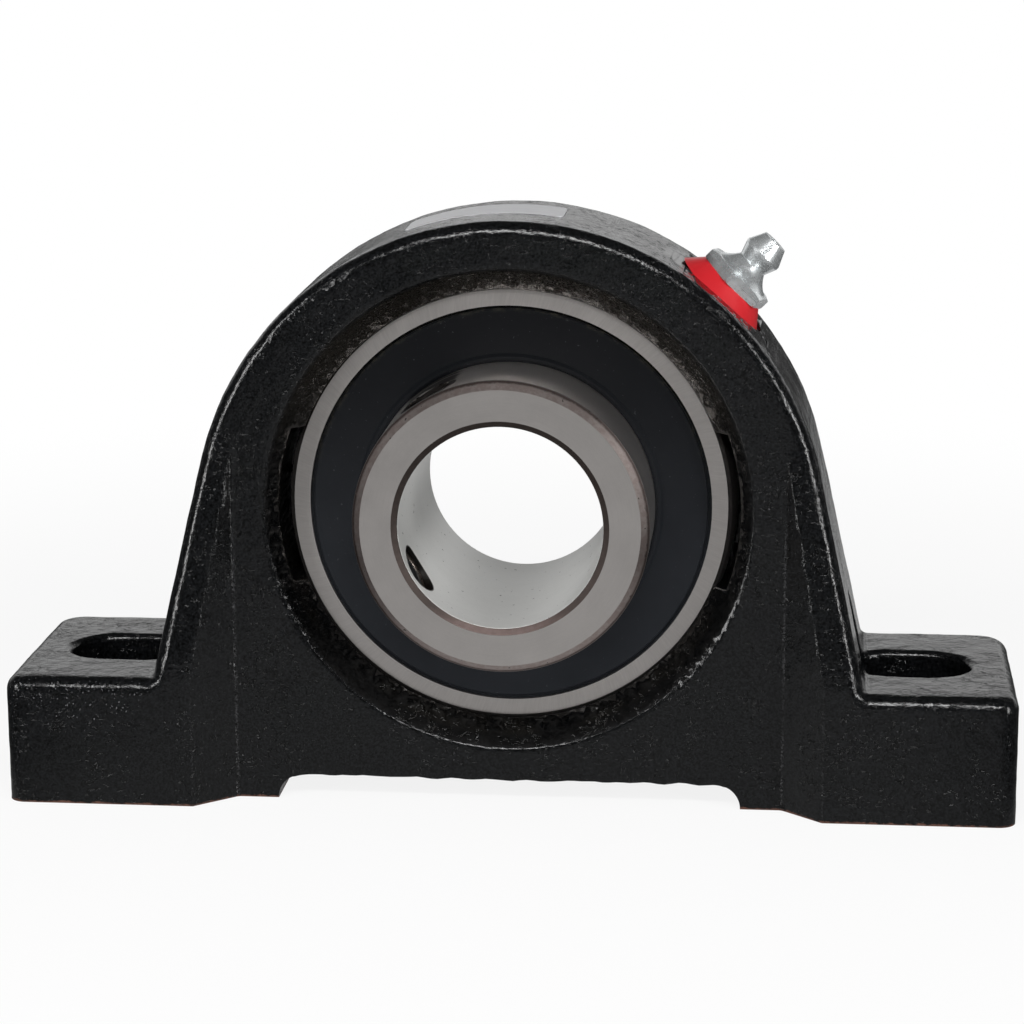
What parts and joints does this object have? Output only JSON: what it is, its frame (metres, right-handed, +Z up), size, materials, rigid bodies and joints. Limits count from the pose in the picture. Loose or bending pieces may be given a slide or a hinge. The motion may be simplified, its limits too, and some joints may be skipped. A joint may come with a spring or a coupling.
{
  "type": "pillow block bearing",
  "caption": "Mounted ball bearing: a self-aligning insert with set screws in a cast pillow block with slotted feet and a grease fitting.",
  "frame": {"origin": "middle of the two-bolt pattern, on the underside of the feet", "axes": "+X along the base, +Z up, -Y towards the set-screw side; the shaft runs along Y"},
  "size_m": [0.1604, 0.0456, 0.0935],
  "materials": {
    "cast_housing": "gloss black paint over a rough cast skin",
    "ring_steel": "ground bearing steel, fine brushed faces",
    "ball_steel": "polished bearing steel",
    "cage_steel": "pressed sheet steel, satin",
    "seal_rubber": "moulded nitrile rubber, matt charcoal",
    "black_steel": "black oxide alloy steel, oiled",
    "zinc_steel": "bright zinc plate",
    "red_plastic": "moulded red plastic, plain",
    "label_foil": "plain light grey foil, bare of lettering"
  },
  "bodies": {
    "housing_body": {"housing": "cast_housing", "grease_fitting_body": "zinc_steel", "grease_fitting_spring": "ball_steel", "fitting_collar": "red_plastic", "crown_label": "label_foil"},
    "outer_ring_body": {"outer_ring": "ring_steel", "front_seal_rubber": "seal_rubber", "front_seal_core": "cage_steel", "rear_seal_rubber": "seal_rubber", "rear_seal_core": "cage_steel"},
    "inner_ring_body": {"inner_ring": "ring_steel"},
    "cage_body": {"cage_front_half": "cage_steel", "cage_rear_half": "cage_steel", "cage_rivets": "cage_steel"},
    "ball_1_body": {"ball_1": "ball_steel"},
    "ball_2_body": {"ball_2": "ball_steel"},
    "ball_3_body": {"ball_3": "ball_steel"},
    "ball_4_body": {"ball_4": "ball_steel"},
    "ball_5_body": {"ball_5": "ball_steel"},
    "ball_6_body": {"ball_6": "ball_steel"},
    "ball_7_body": {"ball_7": "ball_steel"},
    "ball_8_body": {"ball_8": "ball_steel"},
    "ball_9_body": {"ball_9": "ball_steel"},
    "set_screw_1_body": {"set_screw_1": "black_steel"},
    "set_screw_2_body": {"set_screw_2": "black_steel"},
    "check_ball_body": {"grease_fitting_ball": "ball_steel"}
  },
  "joints": [
    {"name": "align", "type": "hinge", "parent": "housing_body", "child": "outer_ring_body", "pos_m": [0, 0, 0.04763], "axis": [1, 0, 0], "range_deg": [-3, 3]},
    {"name": "shaft_spin", "type": "hinge", "parent": "outer_ring_body", "child": "inner_ring_body", "pos_m": [0, 0, 0.04763], "axis": [0, 1, 0], "continuous": true},
    {"name": "cage_spin", "type": "hinge", "parent": "outer_ring_body", "child": "cage_body", "pos_m": [0, 0, 0.04763], "axis": [0, 1, 0], "continuous": true},
    {"name": "ball_1_spin", "type": "hinge", "parent": "cage_body", "child": "ball_1_body", "pos_m": [0, 0, 0.0744], "axis": [0, 1, 0], "continuous": true},
    {"name": "ball_2_spin", "type": "hinge", "parent": "cage_body", "child": "ball_2_body", "pos_m": [-0.01721, 0, 0.06813], "axis": [0, 1, 0], "continuous": true},
    {"name": "ball_3_spin", "type": "hinge", "parent": "cage_body", "child": "ball_3_body", "pos_m": [-0.02636, 0, 0.05227], "axis": [0, 1, 0], "continuous": true},
    {"name": "ball_4_spin", "type": "hinge", "parent": "cage_body", "child": "ball_4_body", "pos_m": [-0.02318, 0, 0.03424], "axis": [0, 1, 0], "continuous": true},
    {"name": "ball_5_spin", "type": "hinge", "parent": "cage_body", "child": "ball_5_body", "pos_m": [-0.00916, 0, 0.02247], "axis": [0, 1, 0], "continuous": true},
    {"name": "ball_6_spin", "type": "hinge", "parent": "cage_body", "child": "ball_6_body", "pos_m": [0.00916, 0, 0.02247], "axis": [0, 1, 0], "continuous": true},
    {"name": "ball_7_spin", "type": "hinge", "parent": "cage_body", "child": "ball_7_body", "pos_m": [0.02318, 0, 0.03424], "axis": [0, 1, 0], "continuous": true},
    {"name": "ball_8_spin", "type": "hinge", "parent": "cage_body", "child": "ball_8_body", "pos_m": [0.02636, 0, 0.05227], "axis": [0, 1, 0], "continuous": true},
    {"name": "ball_9_spin", "type": "hinge", "parent": "cage_body", "child": "ball_9_body", "pos_m": [0.01721, 0, 0.06813], "axis": [0, 1, 0], "continuous": true},
    {"name": "set_screw_1_travel", "type": "slide", "parent": "inner_ring_body", "child": "set_screw_1_body", "axis": [-0.515, 0, 0.8572], "range_m": [-0.0016, 0.003]},
    {"name": "set_screw_2_travel", "type": "slide", "parent": "inner_ring_body", "child": "set_screw_2_body", "axis": [-0.8572, 0, -0.515], "range_m": [-0.0016, 0.003]},
    {"name": "check_ball_travel", "type": "slide", "parent": "housing_body", "child": "check_ball_body", "axis": [-0.7071, 0, -0.7071], "range_m": [0, 0.0012], "stiffness_N_per_m": 300, "springref_m": -0.001, "deforming": ["grease_fitting_spring"]}
  ],
  "couplings": [
    {"joint": "cage_spin", "follows": "shaft_spin", "ratio": 0.39595},
    {"joint": "ball_1_spin", "follows": "shaft_spin", "ratio": -2.3049},
    {"joint": "ball_2_spin", "follows": "shaft_spin", "ratio": -2.3049},
    {"joint": "ball_3_spin", "follows": "shaft_spin", "ratio": -2.3049},
    {"joint": "ball_4_spin", "follows": "shaft_spin", "ratio": -2.3049},
    {"joint": "ball_5_spin", "follows": "shaft_spin", "ratio": -2.3049},
    {"joint": "ball_6_spin", "follows": "shaft_spin", "ratio": -2.3049},
    {"joint": "ball_7_spin", "follows": "shaft_spin", "ratio": -2.3049},
    {"joint": "ball_8_spin", "follows": "shaft_spin", "ratio": -2.3049},
    {"joint": "ball_9_spin", "follows": "shaft_spin", "ratio": -2.3049}
  ]
}
